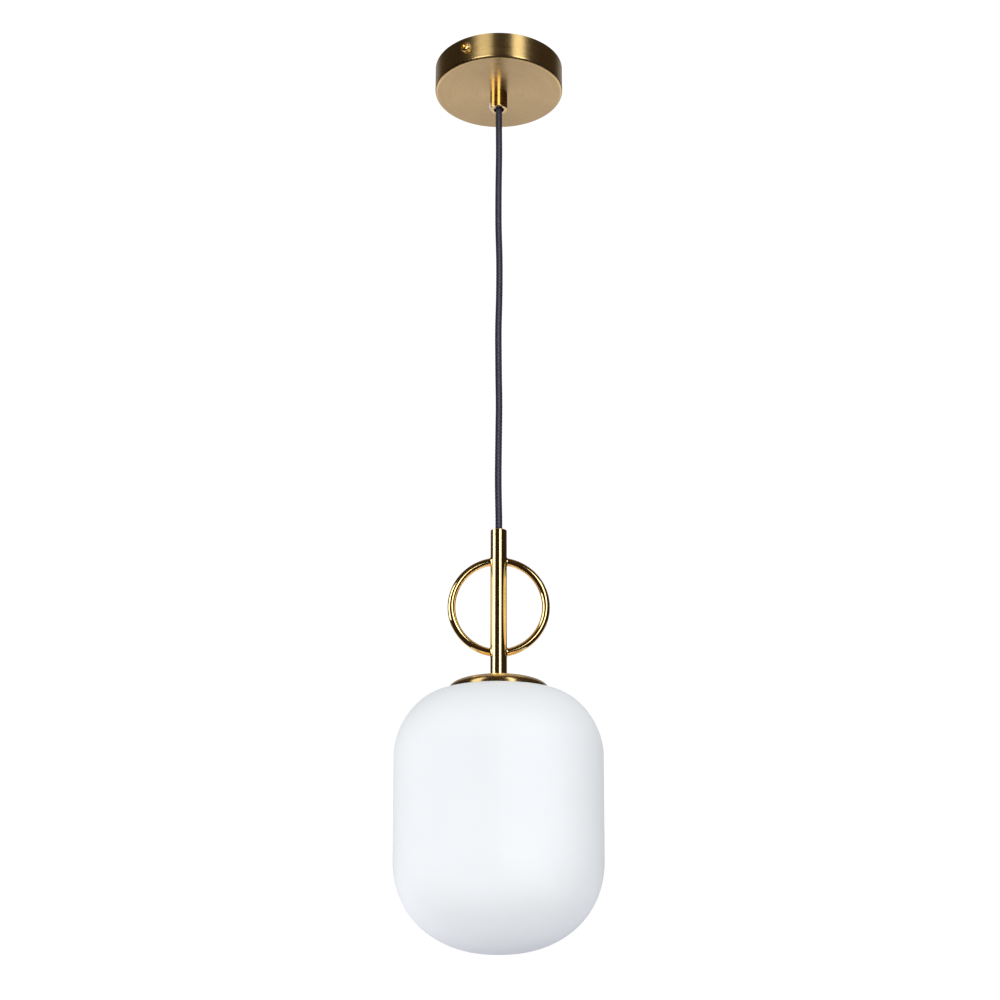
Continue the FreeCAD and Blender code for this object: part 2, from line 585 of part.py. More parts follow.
# insulating liner and the brass screw shell inside it
save("lampholder_liner", tube(17.4, 14.3, -619.8, -652.0))
save("holder_screw_shell", tube(14.2, 13.55, -620.2, -646.0))
contact = Part.makeBox(12.0, 4.0, 0.6, V(-6.0, -2.0, -620.5)).fuse(cyl(2.4, -620.4, -621.6)).removeSplitter()
save("holder_centre_contact", contact)

# ===================================================================== bulb
# E27 golf-ball LED lamp.
save("bulb_tip_contact", revolve([line((0, -622.2), (2.2, -622.2)), arc((2.2, -622.2), (4.0, -622.7), (4.6, -623.6)),
                                  line((4.6, -623.6), (0, -623.6)), line((0, -623.6), (0, -622.2))]))
save("bulb_insulator", revolve(poly([(0, -623.65), (5.2, -623.65), (10.6, -627.4), (0, -627.4)])))
cap_edges = [line((0, -627.45), (10.8, -627.45)), line((10.8, -627.45), (12.0, -629.0))]
z = -629.0
while z > -645.0:
    cap_edges.append(arc((12.0, z), (13.1, z - 0.905), (12.45, z - 1.81)))
    nz = z - 3.62
    cap_edges.append(arc((12.45, z - 1.81), (11.95, z - 2.7), (12.0, nz)))
    z = nz
cap_edges += [line((12.0, z), (12.0, -649.0)), line((12.0, -649.0), (0, -649.0)), line((0, -649.0), (0, -627.45))]
save("bulb_screw_cap", revolve(cap_edges))
save("bulb_collar", revolve([line((0, -649.05), (12.6, -649.05)),
                             spline([(12.6, -649.05), (14.4, -655.0), (20.6, -666.0)], (0.1, -1), (0.9, -1)),
                             line((20.6, -666.0), (0, -666.0)), line((0, -666.0), (0, -649.05))]))
save("bulb_globe", revolve([line((0, -666.05), (20.55, -666.05)),
                            spline([(20.55, -666.05), (22.5, -678.0), (15.9, -694.0), (0, -700.5)], (0.5, -1), (-1, 0)),
                            line((0, -700.5), (0, -666.05))]))
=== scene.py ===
import json
import math

import bpy
import numpy as np
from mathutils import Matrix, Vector

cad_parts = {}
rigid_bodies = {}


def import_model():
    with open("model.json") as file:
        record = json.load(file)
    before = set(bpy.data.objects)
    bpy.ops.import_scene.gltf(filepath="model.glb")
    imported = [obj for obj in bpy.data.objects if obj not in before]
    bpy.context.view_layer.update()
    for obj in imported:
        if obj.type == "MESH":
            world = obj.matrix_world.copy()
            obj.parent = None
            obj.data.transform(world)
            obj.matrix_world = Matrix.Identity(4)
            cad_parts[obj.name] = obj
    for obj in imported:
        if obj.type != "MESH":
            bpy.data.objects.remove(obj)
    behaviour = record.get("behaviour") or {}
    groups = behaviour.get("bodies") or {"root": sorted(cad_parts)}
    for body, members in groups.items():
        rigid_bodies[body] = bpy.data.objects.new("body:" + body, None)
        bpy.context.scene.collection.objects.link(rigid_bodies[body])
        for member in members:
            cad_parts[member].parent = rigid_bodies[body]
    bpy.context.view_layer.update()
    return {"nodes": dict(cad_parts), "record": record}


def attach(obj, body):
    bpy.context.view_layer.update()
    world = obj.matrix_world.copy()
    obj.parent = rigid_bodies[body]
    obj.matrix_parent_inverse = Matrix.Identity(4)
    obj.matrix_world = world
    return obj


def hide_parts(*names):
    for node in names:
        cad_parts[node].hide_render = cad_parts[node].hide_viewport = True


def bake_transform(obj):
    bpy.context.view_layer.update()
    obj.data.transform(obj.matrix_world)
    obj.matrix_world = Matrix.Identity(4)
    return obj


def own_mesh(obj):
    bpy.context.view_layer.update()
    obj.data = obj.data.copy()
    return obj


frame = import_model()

# Pendant ceiling light.  Metres, +Z up; the ceiling is the plane z = 0.
# Lengths with the suffix _MM, and every outline below, are in millimetres.

MM = 0.001
NODES = frame["nodes"]
LOOK = bpy.context.scene
COLL = LOOK.collection

# ------------------------------------------------------------------ dimensions
CUP_R, CUP_H, CUP_T, CUP_EDGE, CUP_HOLE_R = 60.0, 26.0, 1.0, 2.6, 5.2
SIDE_HOLE_R, SIDE_Z, SIDE_AZ = 2.3, -10.5, 240.0
GRIP_R, GRIP_L, GRIP_MOUTH_R = 7.9, 17.5, 4.85
SPIGOT_R, SPIGOT_TOP, LOCK_Z, LOCK_R = 5.0, -17.0, -38.9, 3.0
CORD_R = 3.0
STEM_R, STEM_BORE, STEM_TOP = 7.0, 6.0, -459.4
RING_Z, RING_R, BAR_R, BRAZE_R = -527.0, 40.0, 3.3, 1.3
DOME_R, DOME_H, DOME_N, DOME_TOP, DOME_T, DOME_SKIRT = 41.6, 10.4, 2.3, -588.3, 0.8, -600.85
GL_T, GL_LAND, GL_LAND_R, GL_SH_N = 3.0, -601.25, 46.6, 1.74
GL_R1, GL_Z1, GL_R2, GL_Z2, GL_BOT_N, GL_BOT = 86.16, -652.2, 85.27, -736.4, 2.2, -810.85
NECK_R, NECK_BORE, NECK_TOP, NECK_RIB = 33.4, 31.0, -596.6, 34.15


# -------------------------------------------------------------- mesh building
def mesh_object(name, verts, faces, sharp=38.0):
    me = bpy.data.meshes.new(name)
    me.from_pydata([tuple(v) for v in verts], [], faces)
    me.validate()
    me.update()
    ob = bpy.data.objects.new(name, me)
    COLL.objects.link(ob)
    finish_shading(ob, sharp)
    return ob


def finish_shading(ob, sharp=38.0):
    ob.data.shade_smooth()
    ob.data.set_sharp_from_angle(angle=math.radians(sharp))


def rounded(corners, steps=6, support=0.3):
    """Closed outline through (r, z, radius) corners: true arcs, and a point
    just off each arc so that the flats beside it stay flat."""
    n = len(corners)
    runs = []
    for i in range(n):
        a, b, c = corners[i - 1], corners[i], corners[(i + 1) % n]
        p = Vector((b[0], b[1]))
        u = Vector((a[0], a[1])) - p
        v = Vector((c[0], c[1])) - p
        rad = b[2]
        if rad <= 0:
            runs.append([p])
            continue
        u.normalize()
        v.normalize()
        half = u.angle(v) / 2
        t = rad / math.tan(half)
        centre = p + (u + v).normalized() * (rad / math.sin(half))
        a0, a1 = p + u * t - centre, p + v * t - centre
        turn = a0.angle_signed(a1)
        arc = []
        for k in range(steps + 1):
            ang = -turn * k / steps
            arc.append(centre + Vector((a0.x * math.cos(ang) - a0.y * math.sin(ang),
                                        a0.x * math.sin(ang) + a0.y * math.cos(ang))))
        runs.append(arc)
    out = []
    for i in range(n):
        out += runs[i]
        p, q = runs[i][-1], runs[(i + 1) % n][0]
        d = q - p
        if d.length > 4 * support:
            s = d.normalized() * support
            out += [p + s, q - s]
    return [(p.x, p.y) for p in out]


def lathe(name, outline, n=128, closed=True, wave=None, sharp=38.0):
    """Solid of revolution about Z.  wave(r, z, angle) adds to the radius."""
    verts, rings, faces = [], [], []
    for r, z in outline:
        if r < 1e-6:
            rings.append([len(verts)])
            verts.append((0.0, 0.0, z * MM))
            continue
        ring = []
        for k in range(n):
            a = 2 * math.pi * k / n
            rr = r + (wave(r, z, a) if wave else 0.0)
            ring.append(len(verts))
            verts.append((rr * math.cos(a) * MM, rr * math.sin(a) * MM, z * MM))
        rings.append(ring)
    m = len(rings)
    for i in range(m if closed else m - 1):
        a, b = rings[i], rings[(i + 1) % m]
        if len(a) == 1 and len(b) == 1:
            continue
        for k in range(n):
            k2 = (k + 1) % n
            if len(a) == 1:
                faces.append((a[0], b[k], b[k2]))
            elif len(b) == 1:
                faces.append((a[k2], a[k], b[0]))
            else:
                faces.append((a[k], b[k], b[k2], a[k2]))
    ob = mesh_object(name, verts, faces, sharp)
    face_outward(ob)
    return ob


def face_outward(ob):
    """Turn a closed mesh's faces outward."""
    me = ob.data
    me.calc_loop_triangles()
    co = np.array([v.co for v in me.vertices], float)
    tri = np.array([t.vertices for t in me.loop_triangles], int)
    a, b, c = co[tri[:, 0]], co[tri[:, 1]], co[tri[:, 2]]
    if float(np.einsum("ij,ij->i", a, np.cross(b, c)).sum()) < 0:
        me.flip_normals()


def rod_along(name, r, start, end, n=48):
    """Plain cutter rod between two points, in millimetres."""
    s, e = Vector(start), Vector(end)
    axis = (e - s).normalized()
    side = axis.orthogonal().normalized()
    other = axis.cross(side)
    verts, faces = [], []
    for p in (s, e):
        for k in range(n):
            a = 2 * math.pi * k / n
            verts.append((p + side * r * math.cos(a) + other * r * math.sin(a)) * MM)
    for k in range(n):
        k2 = (k + 1) % n
        faces.append((k, k2, n + k2, n + k))
    faces.append(tuple(reversed(range(n))))
    faces.append(tuple(range(n, 2 * n)))
    ob = mesh_object(name, verts, faces)
    face_outward(ob)
    return ob


def cut(ob, cutters, sharp=38.0):
    for c in cutters:
        mod = ob.modifiers.new("hole", "BOOLEAN")
        mod.operation = "DIFFERENCE"
        mod.solver = "EXACT"
        mod.object = c
    dg = bpy.context.evaluated_depsgraph_get()
    me = bpy.data.meshes.new_from_object(ob.evaluated_get(dg))
    ob.modifiers.clear()
    ob.data = me
    for c in cutters:
        bpy.data.objects.remove(c)
    finish_shading(ob, sharp)


def quarter(x0, x1, z0, z1, n, count, offset=0.0):
    """Superellipse quarter, flat at (x0, z0) and upright at (x1, z1), moved
    along its inward normal by offset."""
    a, b = abs(x1 - x0), abs(z1 - z0)
    sx, sz = (1 if x1 > x0 else -1), (1 if z0 > z1 else -1)
    out = []
    for i in range(count + 1):
        t = math.pi / 2 * i / count
        s, c = max(math.sin(t), 0.0), max(math.cos(t), 0.0)
        u, w = s ** (2 / n), c ** (2 / n)
        gx, gz = (u ** (n - 1)) / a, (w ** (n - 1)) / b
        g = math.hypot(gx, gz)
        out.append((x0 + sx * (a * u - offset * gx / g), z1 + sz * (b * w - offset * gz / g)))
    return out


def thin_out(pts, least):
    """Drop points that crowd closer together than least."""
    out = [pts[0]]
    for p in pts[1:-1]:
        if math.hypot(p[0] - out[-1][0], p[1] - out[-1][1]) >= least:
            out.append(p)
    out.append(pts[-1])
    return out


# ------------------------------------------------------------------ materials
def new_material(name):
    m = bpy.data.materials.new(name)
    m.use_nodes = True
    nt = m.node_tree
    nt.nodes.clear()
    out = nt.nodes.new("ShaderNodeOutputMaterial")
    b = nt.nodes.new("ShaderNodeBsdfPrincipled")
    nt.links.new(b.outputs["BSDF"], out.inputs["Surface"])
    return m, nt, b


def put(b, **values):
    names = {"color": "Base Color", "rough": "Roughness", "metal": "Metallic", "ior": "IOR", "spec": "Specular IOR Level",
             "coat": "Coat Weight", "coat_rough": "Coat Roughness", "aniso": "Anisotropic", "aniso_turn": "Anisotropic Rotation",
             "sheen": "Sheen Weight", "sheen_rough": "Sheen Roughness", "sss": "Subsurface Weight", "sss_scale": "Subsurface Scale"}
    for k, v in values.items():
        b.inputs[names[k]].default_value = (*v, 1.0) if k == "color" else v


def math_node(nt, op, a, b=None):
    n = nt.nodes.new("ShaderNodeMath")
    n.operation = op
    for i, v in enumerate((a, b)):
        if v is None:
            continue
        if isinstance(v, (int, float)):
            n.inputs[i].default_value = v
        else:
            nt.links.new(v, n.inputs[i])
    return n.outputs[0]


def object_xyz(nt):
    tc = nt.nodes.new("ShaderNodeTexCoord")
    return tc.outputs["Object"]


def stretched(nt, sx, sy, sz):
    """Object coordinates scaled per axis."""
    mp = nt.nodes.new("ShaderNodeMapping")
    mp.inputs["Scale"].default_value = (sx, sy, sz)
    nt.links.new(object_xyz(nt), mp.inputs["Vector"])
    return mp.outputs["Vector"]


def turned(nt, fine, coarse):
    """Coordinates for turning marks round the Z axis: fine across the marks,
    coarse along them."""
    sep = nt.nodes.new("ShaderNodeSeparateXYZ")
    nt.links.new(object_xyz(nt), sep.inputs[0])
    x, y, z = sep.outputs
    r = math_node(nt, "SQRT", math_node(nt, "ADD", math_node(nt, "MULTIPLY", x, x), math_node(nt, "ADD", math_node(nt, "MULTIPLY", y, y), 1e-9)))
    comb = nt.nodes.new("ShaderNodeCombineXYZ")
    nt.links.new(math_node(nt, "MULTIPLY", math_node(nt, "SUBTRACT", r, z), fine), comb.inputs[0])
    nt.links.new(math_node(nt, "MULTIPLY", math_node(nt, "DIVIDE", x, r), coarse), comb.inputs[1])
    nt.links.new(math_node(nt, "MULTIPLY", math_node(nt, "DIVIDE", y, r), coarse), comb.inputs[2])
    return comb.outputs[0]


def noise(nt, vec, scale, detail=3.0, rough=0.55, distort=0.0):
    n = nt.nodes.new("ShaderNodeTexNoise")
    n.inputs["Scale"].default_value = scale
    n.inputs["Detail"].default_value = detail
    n.inputs["Roughness"].default_value = rough
    n.inputs["Distortion"].default_value = distort
    nt.links.new(vec, n.inputs["Vector"])
    return n.outputs["Fac"]


def ramp(nt, fac, stops):
    n = nt.nodes.new("ShaderNodeValToRGB")
    el = n.color_ramp.elements
    while len(el) < len(stops):
        el.new(0.5)
    for e, (p, c) in zip(el, stops):
        e.position = p
        e.color = (*c, 1.0)
    nt.links.new(fac, n.inputs["Fac"])
    return n.outputs["Color"]


def span(nt, fac, lo, hi, a=0.3, b=0.7):
    n = nt.nodes.new("ShaderNodeMapRange")
    n.inputs["From Min"].default_value = a
    n.inputs["From Max"].default_value = b
    n.inputs["To Min"].default_value = lo
    n.inputs["To Max"].default_value = hi
    nt.links.new(fac, n.inputs["Value"])
    return n.outputs["Result"]


def bump(nt, height, strength, distance, after=None):
    n = nt.nodes.new("ShaderNodeBump")
    n.inputs["Strength"].default_value = strength
    n.inputs["Distance"].default_value = distance
    nt.links.new(height, n.inputs["Height"])
    if after is not None:
        nt.links.new(after, n.inputs["Normal"])
    return n.outputs["Normal"]


def shade_of(c, k):
    return tuple(min(1.0, v * k) for v in c)


def tangent_round_z(nt, b):
    t = nt.nodes.new("ShaderNodeTangent")
    t.direction_type = "RADIAL"
    t.axis = "Z"
    nt.links.new(t.outputs["Tangent"], b.inputs["Tangent"])


def antique_brass():
    """Lacquered brass with fine turning marks: round the wall, and in circles
    over the lower face."""
    m, nt, b = new_material("antique_brass")
    base = (0.61, 0.43, 0.17)
    put(b, color=base, rough=0.30, metal=1.0, aniso=0.75, aniso_turn=0.25, coat=0.3, coat_rough=0.30)
    tangent_round_z(nt, b)
    lines = noise(nt, turned(nt, 2600.0, 1.4), 1.0, 4.0, 0.65)
    broad = noise(nt, turned(nt, 160.0, 0.9), 1.0, 3.0, 0.5)
    cloud = noise(nt, stretched(nt, 1, 1, 1), 26.0, 4.0, 0.6)
    mixed = math_node(nt, "ADD", math_node(nt, "MULTIPLY", lines, 0.6), math_node(nt, "MULTIPLY", cloud, 0.4))
    nt.links.new(ramp(nt, mixed, [(0.32, shade_of(base, 0.86)), (0.5, base), (0.68, shade_of(base, 1.10))]), b.inputs["Base Color"])
    nt.links.new(span(nt, math_node(nt, "ADD", math_node(nt, "MULTIPLY", lines, 0.5), math_node(nt, "MULTIPLY", broad, 0.5)), 0.24, 0.33), b.inputs["Roughness"])
    nt.links.new(bump(nt, lines, 0.12, 0.00005), b.inputs["Normal"])
    return m


def polished_brass():
    """Bright lacquered brass: faint lengthwise polishing marks, and a few
    cloudy patches in the lacquer."""
    m, nt, b = new_material("polished_brass")
    base = (0.85, 0.61, 0.27)
    put(b, color=base, rough=0.07, metal=1.0)
    marks = noise(nt, stretched(nt, 1, 1, 0.04), 700.0, 3.0, 0.6)
    cloud = noise(nt, stretched(nt, 1, 1, 0.4), 60.0, 4.0, 0.55)
    nt.links.new(ramp(nt, cloud, [(0.3, shade_of(base, 0.93)), (0.7, shade_of(base, 1.04))]), b.inputs["Base Color"])
    nt.links.new(span(nt, math_node(nt, "ADD", math_node(nt, "MULTIPLY", cloud, 0.6), math_node(nt, "MULTIPLY", marks, 0.4)), 0.05, 0.10), b.inputs["Roughness"])
    return m


def spun_brass():
    """Bright brass spun on a lathe: soft bands run out from the middle across
    the fine turning marks."""
    m, nt, b = new_material("spun_brass")
    base = (0.72, 0.50, 0.215)
    put(b, color=base, rough=0.24, metal=1.0, aniso=0.6, aniso_turn=0.25)
    tangent_round_z(nt, b)
    lines = noise(nt, turned(nt, 2600.0, 1.2), 1.0, 3.0, 0.6)
    cloud = noise(nt, stretched(nt, 1, 1, 1), 50.0, 3.0, 0.5)
    nt.links.new(ramp(nt, cloud, [(0.3, shade_of(base, 0.93)), (0.7, shade_of(base, 1.04))]), b.inputs["Base Color"])
    nt.links.new(span(nt, lines, 0.20, 0.28), b.inputs["Roughness"])
    nt.links.new(bump(nt, lines, 0.08, 0.00004), b.inputs["Normal"])
    return m


def turned_brass(name, base, rough, depth):
    """Bare machined brass with lathe marks."""
    m, nt, b = new_material(name)
    put(b, color=base, rough=rough, metal=1.0)
    lines = noise(nt, turned(nt, 1800.0, 2.0), 1.0, 3.0, 0.6)
    cloud = noise(nt, stretched(nt, 1, 1, 1), 110.0, 3.0, 0.5)
    nt.links.new(ramp(nt, cloud, [(0.3, shade_of(base, 0.85)), (0.7, shade_of(base, 1.06))]), b.inputs["Base Color"])
    nt.links.new(span(nt, lines, rough * 0.75, rough * 1.3), b.inputs["Roughness"])
    nt.links.new(bump(nt, lines, depth, 0.00008), b.inputs["Normal"])
    return m


def zinc_steel():
    """Zinc plated steel: slight blue and straw patches, dull grain."""
    m, nt, b = new_material("zinc_steel")
    base = (0.60, 0.615, 0.63)
    put(b, color=base, rough=0.34, metal=1.0)
    grain = noise(nt, stretched(nt, 1, 1, 1), 700.0, 3.0, 0.6)
    cloud = noise(nt, stretched(nt, 1, 1, 1), 90.0, 3.0, 0.6, 0.6)
    nt.links.new(ramp(nt, cloud, [(0.30, (0.50, 0.54, 0.60)), (0.52, base), (0.75, (0.66, 0.63, 0.54))]), b.inputs["Base Color"])
    nt.links.new(span(nt, grain, 0.26, 0.44), b.inputs["Roughness"])
    nt.links.new(bump(nt, grain, 0.12, 0.00005), b.inputs["Normal"])
    return m


def textile():
    """Braided textile sheath, dark blue-grey with a few lighter fibres."""
    m, nt, b = new_material("cord_textile")
    base = (0.018, 0.018, 0.034)
    put(b, color=base, rough=0.48, sheen=0.01, sheen_rough=0.5, spec=0.5)
    fibre = noise(nt, stretched(nt, 1, 1, 0.35), 2600.0, 4.0, 0.7)
    thread = noise(nt, stretched(nt, 1, 1, 1), 700.0, 2.0, 0.5)
    mixed = math_node(nt, "ADD", math_node(nt, "MULTIPLY", fibre, 0.55), math_node(nt, "MULTIPLY", thread, 0.45))
    nt.links.new(ramp(nt, mixed, [(0.30, shade_of(base, 0.55)), (0.52, base), (0.72, shade_of(base, 1.75))]), b.inputs["Base Color"])
    nt.links.new(span(nt, fibre, 0.42, 0.56), b.inputs["Roughness"])
    nt.links.new(bump(nt, fibre, 0.30, 0.00010), b.inputs["Normal"])
    return m


def opal_glass():
    """Opal glass, satin etched outside: cool white, very faint mottling."""
    m, nt, b = new_material("opal_glass")
    base = (0.90, 0.925, 0.945)
    put(b, color=base, rough=0.42, spec=0.42)
    cloud = noise(nt, stretched(nt, 1, 1, 1), 14.0, 3.0, 0.5)
    grain = noise(nt, stretched(nt, 1, 1, 1), 2400.0, 2.0, 0.5)
    nt.links.new(ramp(nt, cloud, [(0.25, (0.885, 0.912, 0.935)), (0.75, (0.91, 0.932, 0.950))]), b.inputs["Base Color"])
    nt.links.new(span(nt, grain, 0.36, 0.48), b.inputs["Roughness"])
    nt.links.new(bump(nt, grain, 0.04, 0.00002), b.inputs["Normal"])
    return m


def moulded(name, base, rough, spec=0.45, grain_size=900.0, depth=0.08, vary=0.06):
    """Moulded plastic, rubber or insulation with a fine grain."""
    m, nt, b = new_material(name)
    put(b, color=base, rough=rough, spec=spec)
    grain = noise(nt, stretched(nt, 1, 1, 1), grain_size, 3.0, 0.6)
    cloud = noise(nt, stretched(nt, 1, 1, 1), 70.0, 3.0, 0.5)
    nt.links.new(ramp(nt, cloud, [(0.3, shade_of(base, 1 - vary)), (0.7, shade_of(base, 1 + vary))]), b.inputs["Base Color"])
    nt.links.new(span(nt, grain, rough * 0.85, min(1.0, rough * 1.15)), b.inputs["Roughness"])
    nt.links.new(bump(nt, grain, depth, 0.00006), b.inputs["Normal"])
    return m


def striped_wire():
    """Green insulation with a yellow stripe wound round it."""
    m, nt, b = new_material("wire_green_yellow")
    put(b, color=(0.20, 0.38, 0.08), rough=0.42)
    w = nt.nodes.new("ShaderNodeTexWave")
    w.wave_type = "BANDS"
    w.bands_direction = "DIAGONAL"
    w.inputs["Scale"].default_value = 150.0
    w.inputs["Distortion"].default_value = 0.4
    nt.links.new(object_xyz(nt), w.inputs["Vector"])
    nt.links.new(ramp(nt, w.outputs["Fac"], [(0.55, (0.06, 0.27, 0.05)), (0.62, (0.80, 0.66, 0.04))]), b.inputs["Base Color"])
    grain = noise(nt, stretched(nt, 1, 1, 1), 900.0, 2.0, 0.5)
    nt.links.new(span(nt, grain, 0.36, 0.5), b.inputs["Roughness"])
    return m


MATS = {
    "antique_brass": antique_brass(),
    "polished_brass": polished_brass(),
    "spun_brass": spun_brass(),
    "screw_brass": turned_brass("screw_brass", (0.84, 0.60, 0.24), 0.20, 0.05),
    "zinc_steel": zinc_steel(),
    "inner_brass": turned_brass("inner_brass", (0.72, 0.55, 0.28), 0.30, 0.14),
    "cord_textile": textile(),
    "nylon": moulded("nylon", (0.80, 0.80, 0.78), 0.38, 0.5, 600.0, 0.05, 0.03),
    "block_plastic": moulded("block_plastic", (0.80, 0.77, 0.69), 0.45, 0.45, 900.0, 0.10, 0.04),
    "wire_brown": moulded("wire_brown", (0.17, 0.075, 0.035), 0.42),
    "wire_blue": moulded("wire_blue", (0.045, 0.16, 0.44), 0.42),
    "wire_green_yellow": striped_wire(),
    "holder_plastic": moulded("holder_plastic", (0.022, 0.022, 0.024), 0.34, 0.5, 700.0, 0.08, 0.15),
    "holder_ceramic": moulded("holder_ceramic", (0.84, 0.82, 0.77), 0.16, 0.55, 300.0, 0.03, 0.03),
    "opal_glass": opal_glass(),
    "silicone": moulded("silicone", (0.62, 0.64, 0.66), 0.55, 0.35, 500.0, 0.05, 0.04),
    "bulb_nickel": turned_brass("bulb_nickel", (0.66, 0.64, 0.60), 0.24, 0.06),
    "bulb_black_glass": moulded("bulb_black_glass", (0.012, 0.012, 0.015), 0.08, 0.6, 300.0, 0.02, 0.1),
    "bulb_white": moulded("bulb_white", (0.87, 0.87, 0.85), 0.30, 0.45, 500.0, 0.03, 0.02),
}

NODE_SLOTS = {
    "zinc_steel": ["ceiling_bracket", "earth_ring_terminal", "earth_screw", "terminal_clamp_screws", "terminal_block_screw",
                   "grip_washer", "grip_hex_nut", "collar_grub_screw", "gallery_lock_nut"],
    "antique_brass": ["canopy"],
    "screw_brass": ["side_screw_front", "side_screw_rear"],
    "block_plastic": ["terminal_block_body"],
    "inner_brass": ["terminal_sleeves", "cord_stop_collar", "stem_foot_bush", "threaded_stud", "shade_gallery", "gallery_spacer",
                    "holder_terminal_screws", "holder_screw_shell", "holder_centre_contact"],
    "polished_brass": ["cord_grip_body", "stem_tube", "stem_top_bush", "ring_half_left", "ring_half_right", "dome_cap"],
    "nylon": ["grip_locking_screw"],
    "cord_textile": ["cord_in_grip", "cord_top", "cord_mid", "cord_main", "cord_in_stem"],
    "wire_brown": ["lead_live"],
    "wire_blue": ["lead_neutral"],
    "wire_green_yellow": ["lead_earth"],
    "silicone": ["shade_seal_ring"],
    "opal_glass": ["shade_neck", "shade_shoulder", "shade_wall", "shade_base"],
    "holder_plastic": ["lampholder_cap", "lampholder_shell", "lampholder_liner"],
    "holder_ceramic": ["lampholder_insert"],
    "bulb_nickel": ["bulb_tip_contact", "bulb_screw_cap"],
    "bulb_black_glass": ["bulb_insulator"],
    "bulb_white": ["bulb_collar", "bulb_globe"],
}
BODY_OF = {n: body for body, ns in frame["record"]["behaviour"]["bodies"].items() for n in ns}
for slot_name, names in NODE_SLOTS.items():
    for node_name in names:
        me = NODES[node_name].data
        me.materials.clear()
        me.materials.append(MATS[slot_name])


def dress(ob, slot_name, body=None, stands_for=()):
    """Finish a piece: its material, the body it rides on, and the CAD nodes
    that it stands for."""
    ob.data.materials.clear()
    ob.data.materials.append(MATS[slot_name])
    if body:
        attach(ob, body)
    if stands_for:
        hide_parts(*stands_for)
    return ob


# --------------------------------------------------------------------- camera
cam_data = bpy.data.cameras.new("camera")
cam_data.lens = 57.82
cam_data.sensor_width = 36.0
cam_data.sensor_fit = "HORIZONTAL"
cam_data.dof.use_dof = False
cam = bpy.data.objects.new("camera", cam_data)
COLL.objects.link(cam)
cam.location = (0.0011, -1.3171, -0.8764)
cam.rotation_euler = (math.radians(90.0 + 18.66), 0.0, 0.0)
LOOK.camera = cam

# ---------------------------------------------------------------------- cord
# Its route from the sheath's end in the cup, down through the grip, to the
# bush in the stem: nearly straight, with the slight set a coiled cord keeps.
ROUTE_MM = [(0.0, 0.0, -15.5), (0.0, 0.0, -43.5), (0.08, 0.05, -65.0), (0.27, 0.15, -91.7), (-0.15, 0.30, -118.2),
            (-0.38, 0.20, -144.3), (-0.29, -0.15, -170.1), (0.53, -0.35, -195.6), (0.62, -0.20, -220.9), (0.26, 0.10, -245.8),
            (-0.46, 0.35, -270.5), (-0.28, 0.30, -295.0), (-0.06, -0.05, -319.1), (0.34, -0.30, -343.0), (-0.01, -0.25, -366.7),
            (-0.28, 0.10, -390.1), (-0.53, 0.25, -413.3), (-0.15, 0.10, -436.2), (0.20, 0.0, -452.0), (0.0, 0.0, -465.4)]


def cord_line(points_mm):
    cu = bpy.data.curves.new("cord_line", "CURVE")
    cu.dimensions = "3D"
    cu.resolution_u = 24
    sp = cu.splines.new("NURBS")
    sp.points.add(len(points_mm) - 1)
    for p, q in zip(sp.points, points_mm):
        p.co = (q[0] * MM, q[1] * MM, q[2] * MM, 1.0)
    sp.order_u = 3
    sp.use_endpoint_u = True
    ob = bpy.data.objects.new("cord_line", cu)
    COLL.objects.link(ob)
    dg = bpy.context.evaluated_depsgraph_get()
    me = bpy.data.meshes.new_from_object(ob.evaluated_get(dg))
    pts = np.array([v.co for v in me.vertices], float)
    bpy.data.objects.remove(ob)
    bpy.data.meshes.remove(me)
    return pts


LINE = cord_line(ROUTE_MM)
LINE = LINE[np.argsort(-LINE[:, 2])]


def line_at(z):
    """Point of the cord's line at a height, in metres."""
    zs = LINE[::-1, 2]
    return np.array([np.interp(z, zs, LINE[::-1, 0]), np.interp(z, zs, LINE[::-1, 1]), z])


def braid_height(a, s):
    """Relief of a 16-strand plain braid, 0 to 1, at an angle round the cord and
    a distance along it in millimetres."""
    u = 8 * a / (2 * math.pi) + s / 3.4
    v = 8 * a / (2 * math.pi) - s / 3.4
    iu, iv = math.floor(u), math.floor(v)
    fu, fv = u - iu - 0.5, v - iv - 0.5
    across, along_ = (fu, fv) if (iu + iv) % 2 == 0 else (fv, fu)
    return (1 - 2.6 * across * across) * (0.55 + 0.45 * math.cos(math.pi * along_))


def cord_tube(name, z_top_mm, z_low_mm, step=0.42, n=48):
    count = int(round((z_top_mm - z_low_mm) / step))
    verts, faces, path = [], [], []
    for i in range(count + 1):
        z = z_top_mm + (z_low_mm - z_top_mm) * i / count
        c = line_at(z * MM)
        path.append([float(v) for v in c])
        for k in range(n):
            a = 2 * math.pi * k / n
            r = CORD_R - 0.17 + 0.20 * braid_height(a, -z)
            verts.append((c[0] + r * MM * math.cos(a), c[1] + r * MM * math.sin(a), c[2]))
    for i in range(count):
        for k in range(n):
            k2 = (k + 1) % n
            faces.append((i * n + k, (i + 1) * n + k, (i + 1) * n + k2, i * n + k2))
    faces.append(tuple(range(n)))
    faces.append(tuple(reversed(range(count * n, (count + 1) * n))))
    ob = mesh_object(name, verts, faces, 60.0)
    face_outward(ob)
    ob.data.materials.append(MATS["cord_textile"])
    return ob, path


cord_a, path_a = cord_tube("cord_at_grip", -15.5, -58.0)
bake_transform(cord_a)
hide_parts("cord_in_grip", "cord_top")
cord_b, path_b = cord_tube("cord_below_grip", -58.0, -95.0)
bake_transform(cord_b)
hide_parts("cord_mid")
cord_c, path_c = cord_tube("cord_to_stem", -95.0, -465.4)
dress(cord_c, "cord_textile", "cord_lower", ["cord_main"])
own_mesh(cord_c)

